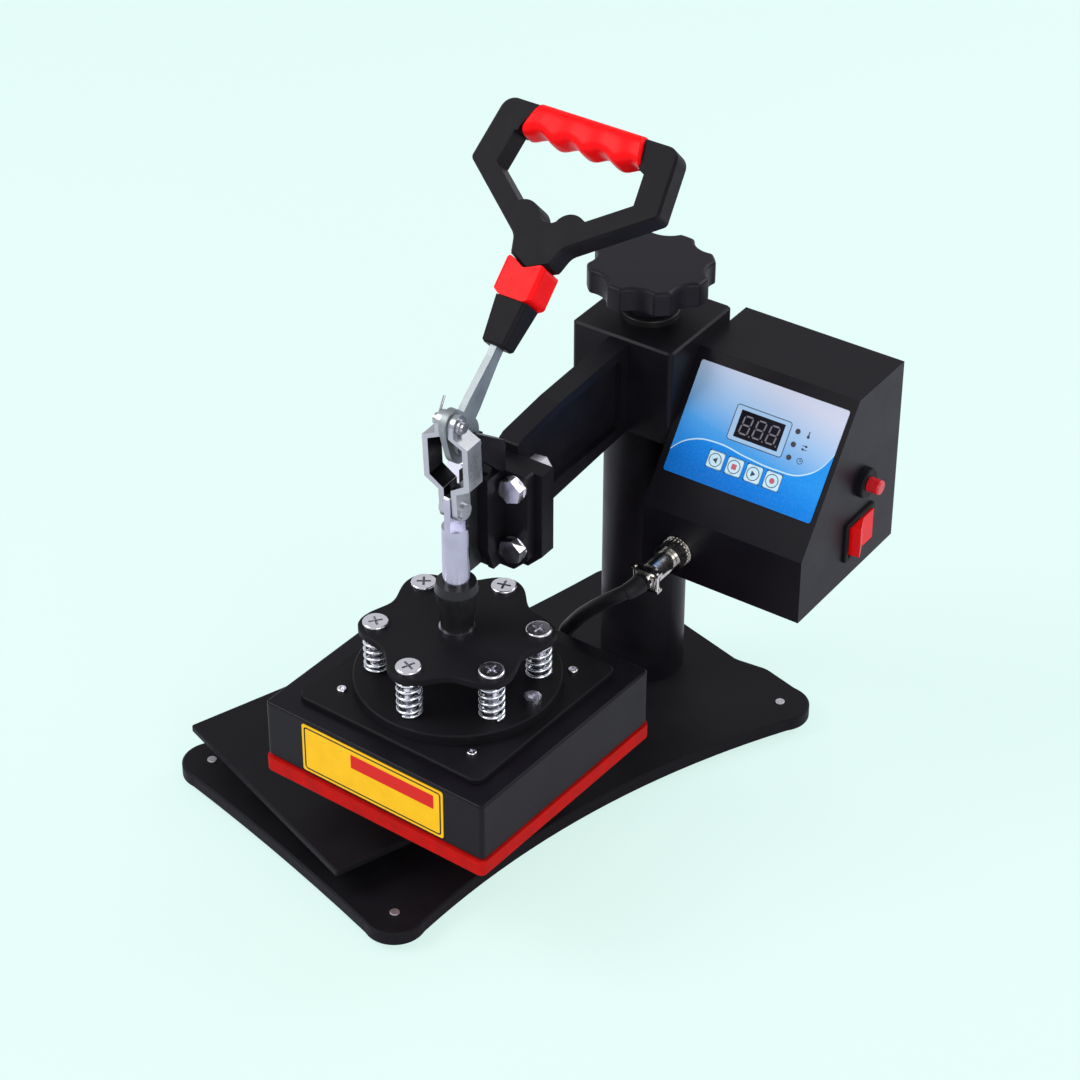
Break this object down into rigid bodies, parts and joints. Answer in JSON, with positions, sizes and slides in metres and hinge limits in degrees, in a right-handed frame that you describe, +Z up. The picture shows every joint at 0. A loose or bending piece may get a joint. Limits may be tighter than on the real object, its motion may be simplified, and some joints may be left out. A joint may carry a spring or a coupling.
{
  "type": "flat heat press",
  "caption": "Bench heat press with a square heated pad on a swinging arm, a toggle handle, a pressure knob and a digital control box.",
  "frame": {"origin": "on the bench, under the middle of the whole press as it stands open", "axes": "+Z up, front of the base plate towards -Y, +X to the operator's right"},
  "size_m": [0.2508, 0.3571, 0.4026],
  "materials": {
    "black_paint": "satin textured",
    "black_plate": "satin powder coat",
    "chrome_steel": "polished",
    "bright_steel": "machined",
    "zinc_steel": "bright zinc",
    "dark_steel": "dark oxide",
    "spring_steel": "bright wire",
    "cast_block": "cast and machined",
    "element_sheath": "annealed",
    "board_fibre": "fibre board",
    "red_silicone": "matt",
    "black_rubber": "matt",
    "black_plastic": "fine grain",
    "red_plastic": "moulded",
    "yellow_label": "printed film",
    "panel_film": "printed film",
    "window_film": "smoked",
    "key_plastic": "printed film",
    "lamp_lens": "clear tinted",
    "brass_pins": "plain"
  },
  "bodies": {
    "stand": {"base_plate": "black_plate", "rubber_feet": "black_rubber", "base_screws": "zinc_steel", "column": "black_paint", "column_plug": "bright_steel", "platen_post": "black_plate", "lower_platen": "black_plate"},
    "carriage": {"thrust_collar": "dark_steel"},
    "knob": {"star_knob": "black_plastic", "pressure_screw": "bright_steel"},
    "arm": {"swing_arm": "black_paint", "clamp_body": "black_paint", "clamp_bolts": "zinc_steel", "pivot_pin": "zinc_steel", "box_shell": "black_paint", "box_side_cover": "black_paint", "box_screws": "zinc_steel", "panel_membrane": "panel_film", "display_window": "window_film", "indicator_lamps": "lamp_lens", "breaker_nut": "black_plastic", "rocker_bezel": "black_plastic", "chassis_socket": "chrome_steel", "plug_shell": "chrome_steel", "mains_inlet": "black_plastic", "inlet_pins": "brass_pins", "heater_cord": "black_rubber"},
    "lever": {"lever_plate": "bright_steel", "lever_pin": "zinc_steel", "handle_socket": "black_plastic", "handle_sleeve": "red_plastic", "handle_frame": "black_plastic", "handle_grip": "red_plastic"},
    "links": {"toggle_links": "bright_steel", "link_pins": "zinc_steel"},
    "plunger": {"plunger_rod": "chrome_steel", "guide_tongue": "bright_steel", "plunger_collar": "dark_steel", "rod_fasteners": "chrome_steel", "star_plate": "black_plate", "springs": "spring_steel"},
    "heater": {"spring_screws": "zinc_steel", "disc_plate": "black_plate", "heater_screws": "zinc_steel", "raised_plate": "black_plate", "heater_cover": "black_paint", "heating_block": "cast_block", "heating_element": "element_sheath", "insulation_board": "board_fibre", "silicone_pad": "red_silicone", "front_plate": "yellow_label", "cord_elbow": "black_rubber"},
    "breaker": {"breaker_button": "red_plastic"},
    "rocker": {"rocker": "red_plastic"},
    "plug_ring": {"plug_ring": "chrome_steel"},
    "key_1": {"key_1": "key_plastic"},
    "key_2": {"key_2": "key_plastic"},
    "key_3": {"key_3": "key_plastic"},
    "key_4": {"key_4": "key_plastic"}
  },
  "joints": [
    {"name": "head_height", "type": "slide", "parent": "stand", "child": "carriage", "axis": [0, 0, 1], "range_m": [-0.005, 0.005]},
    {"name": "head_swing", "type": "hinge", "parent": "carriage", "child": "arm", "pos_m": [-0.02195, 0.09545, 0.255], "axis": [0, 0, 1], "range_deg": [-20.35, 65]},
    {"name": "knob_spin", "type": "hinge", "parent": "carriage", "child": "knob", "pos_m": [-0.02195, 0.09545, 0.273], "axis": [0, 0, 1], "range_deg": [-900, 900]},
    {"name": "handle_lever", "type": "hinge", "parent": "arm", "child": "lever", "pos_m": [0.02681, -0.0799, 0.2686], "axis": [0.9634, 0.2679, 0], "range_deg": [0, 142.08]},
    {"name": "link_turn", "type": "hinge", "parent": "lever", "child": "links", "pos_m": [0.02938, -0.08915, 0.2836], "axis": [0.9634, 0.2679, 0], "range_deg": [-150.47, 0]},
    {"name": "plunger_slide", "type": "slide", "parent": "arm", "child": "plunger", "axis": [0, 0, 1], "range_m": [-0.0326, 0]},
    {"name": "heater_float", "type": "slide", "parent": "plunger", "child": "heater", "axis": [0, 0, 1], "range_m": [0, 0.0045], "stiffness_N_per_m": 12000, "springref_m": -0.006, "deforming": ["springs"]},
    {"name": "breaker_press", "type": "slide", "parent": "arm", "child": "breaker", "axis": [-0.9634, -0.2679, 0], "range_m": [0, 0.002], "stiffness_N_per_m": 400, "springref_m": -0.002},
    {"name": "power_rocker", "type": "hinge", "parent": "arm", "child": "rocker", "pos_m": [0.10471, 0.13638, 0.1558], "axis": [0, 0, 1], "range_deg": [-22, 0]},
    {"name": "plug_ring_turn", "type": "hinge", "parent": "arm", "child": "plug_ring", "pos_m": [0.05134, 0.04836, 0.148], "axis": [0.2679, -0.9634, 0], "continuous": true},
    {"name": "key_1_press", "type": "slide", "parent": "arm", "child": "key_1", "axis": [-0.2161, 0.7772, -0.5909], "range_m": [0, 0.0006], "stiffness_N_per_m": 1200, "springref_m": -0.0005},
    {"name": "key_2_press", "type": "slide", "parent": "arm", "child": "key_2", "axis": [-0.2161, 0.7772, -0.5909], "range_m": [0, 0.0006], "stiffness_N_per_m": 1200, "springref_m": -0.0005},
    {"name": "key_3_press", "type": "slide", "parent": "arm", "child": "key_3", "axis": [-0.2161, 0.7772, -0.5909], "range_m": [0, 0.0006], "stiffness_N_per_m": 1200, "springref_m": -0.0005},
    {"name": "key_4_press", "type": "slide", "parent": "arm", "child": "key_4", "axis": [-0.2161, 0.7772, -0.5909], "range_m": [0, 0.0006], "stiffness_N_per_m": 1200, "springref_m": -0.0005}
  ],
  "couplings": [
    {"joint": "knob_spin", "follows": "head_height", "rad_per_m": 3141.6},
    {"joint": "link_turn", "follows": "handle_lever", "ratio": -1.0587},
    {"joint": "plunger_slide", "follows": "handle_lever", "m_per_rad": -0.013137}
  ]
}
